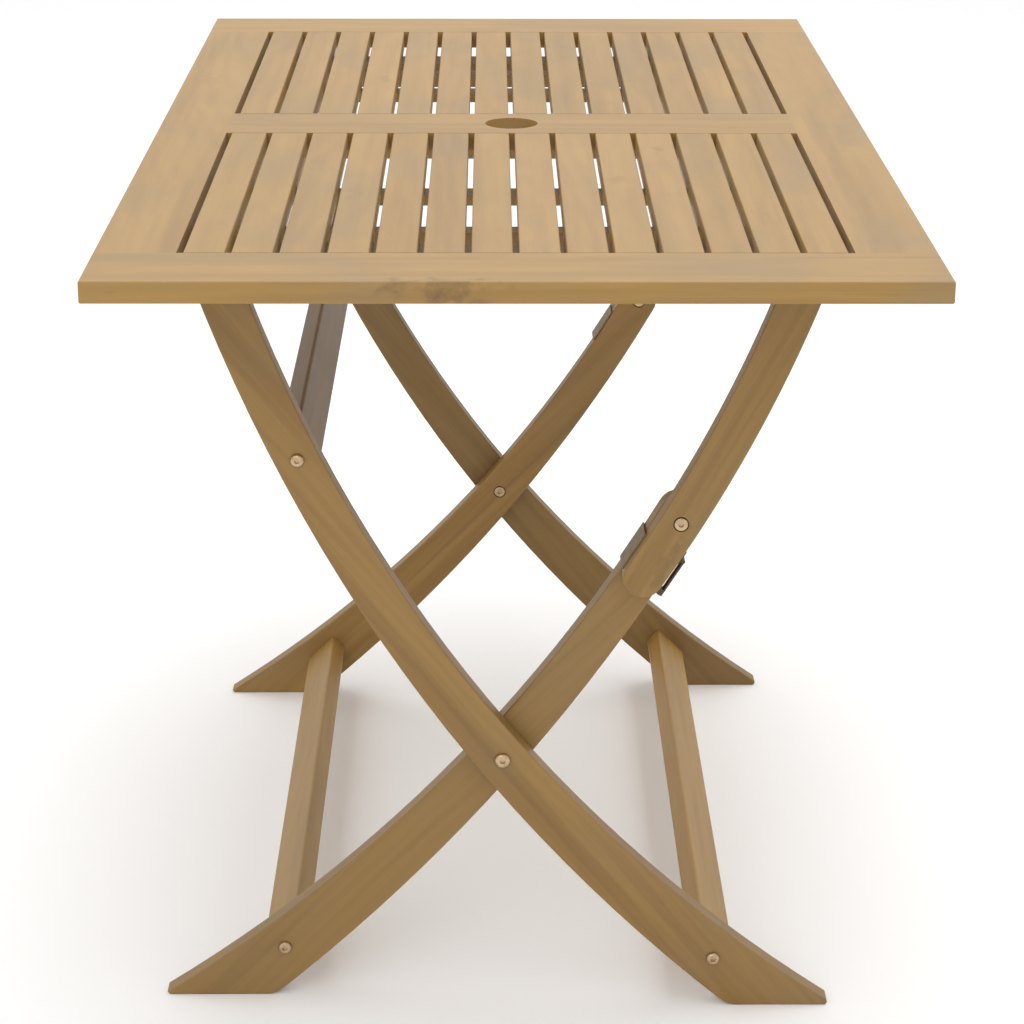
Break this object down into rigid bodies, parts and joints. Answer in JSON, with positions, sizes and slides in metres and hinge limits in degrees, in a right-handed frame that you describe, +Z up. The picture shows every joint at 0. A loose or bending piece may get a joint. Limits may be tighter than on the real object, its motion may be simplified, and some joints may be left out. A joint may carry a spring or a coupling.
{
  "type": "folding garden table",
  "caption": "Folding wooden garden table: slatted rectangular top with a parasol hole, on curved crossing legs that fold at the knee.",
  "frame": {"origin": "centre of the footprint, on the floor", "axes": "+Y along the table's long side, +Z up, leg A hangs from the -X side of the top"},
  "size_m": [0.68, 1.2, 0.75],
  "materials": {
    "top_wood": "oiled acacia, weathered pale",
    "leg_wood": "oiled acacia",
    "bolt_steel": "satin, warm plated",
    "plate_steel": "dull, darkened"
  },
  "bodies": {
    "table_top": {"end_rail_front": "top_wood", "end_rail_rear": "top_wood", "side_rail_left": "top_wood", "side_rail_right": "top_wood", "middle_rail": "top_wood", "slat_front_01": "top_wood", "slat_front_02": "top_wood", "slat_front_03": "top_wood", "slat_front_04": "top_wood", "slat_front_05": "top_wood", "slat_front_06": "top_wood", "slat_front_07": "top_wood", "slat_front_08": "top_wood", "slat_front_09": "top_wood", "slat_front_10": "top_wood", "slat_front_11": "top_wood", "slat_front_12": "top_wood", "slat_front_13": "top_wood", "slat_front_14": "top_wood", "slat_rear_01": "top_wood", "slat_rear_02": "top_wood", "slat_rear_03": "top_wood", "slat_rear_04": "top_wood", "slat_rear_05": "top_wood", "slat_rear_06": "top_wood", "slat_rear_07": "top_wood", "slat_rear_08": "top_wood", "slat_rear_09": "top_wood", "slat_rear_10": "top_wood", "slat_rear_11": "top_wood", "slat_rear_12": "top_wood", "slat_rear_13": "top_wood", "slat_rear_14": "top_wood", "leg_batten_front": "leg_wood", "leg_batten_rear": "leg_wood", "outer_batten_front": "leg_wood", "outer_batten_rear": "leg_wood", "slat_batten_front": "leg_wood", "slat_batten_rear": "leg_wood", "top_pivot_bolts": "bolt_steel", "top_washers": "bolt_steel"},
    "leg_frame_a": {"leg_a_front": "leg_wood", "leg_a_rear": "leg_wood", "stretcher_a_upper": "leg_wood", "stretcher_a_lower": "leg_wood", "stretcher_bolts_a": "bolt_steel", "crossing_bolts": "bolt_steel"},
    "knee_links": {"knee_link_front": "leg_wood", "knee_link_rear": "leg_wood", "knee_bolts": "bolt_steel", "knee_washers": "bolt_steel", "knee_stop_plates": "plate_steel", "latch_mounts": "plate_steel"},
    "leg_frame_b": {"leg_b_front": "leg_wood", "leg_b_rear": "leg_wood", "stretcher_b_lower": "leg_wood", "stretcher_bolts_b": "bolt_steel", "crossing_nuts": "bolt_steel"},
    "latch_front": {"knee_latch_front": "plate_steel"},
    "latch_rear": {"knee_latch_rear": "plate_steel"}
  },
  "joints": [
    {"name": "leg_fold", "type": "hinge", "parent": "table_top", "child": "leg_frame_a", "pos_m": [-0.2575, 0, 0.706], "axis": [0, -1, 0], "range_deg": [0, 38]},
    {"name": "link_fold", "type": "hinge", "parent": "table_top", "child": "knee_links", "pos_m": [0.253, 0, 0.706], "axis": [0, -1, 0], "range_deg": [-56.5, 0]},
    {"name": "knee_bend", "type": "hinge", "parent": "knee_links", "child": "leg_frame_b", "pos_m": [0.1464, 0, 0.4755], "axis": [0, -1, 0], "range_deg": [0, 143.3]},
    {"name": "latch_front_swing", "type": "hinge", "parent": "knee_links", "child": "latch_front", "pos_m": [0.1491, -0.381, 0.4393], "axis": [0, -1, 0], "range_deg": [0, 12], "stiffness_Nm_per_rad": 0.02, "springref_deg": -8.59},
    {"name": "latch_rear_swing", "type": "hinge", "parent": "knee_links", "child": "latch_rear", "pos_m": [0.1491, 0.381, 0.4393], "axis": [0, -1, 0], "range_deg": [0, 12], "stiffness_Nm_per_rad": 0.02, "springref_deg": -8.59}
  ],
  "couplings": [
    {"joint": "link_fold", "follows": "leg_fold", "ratio": -1.4858},
    {"joint": "knee_bend", "follows": "leg_fold", "ratio": 3.7702}
  ]
}
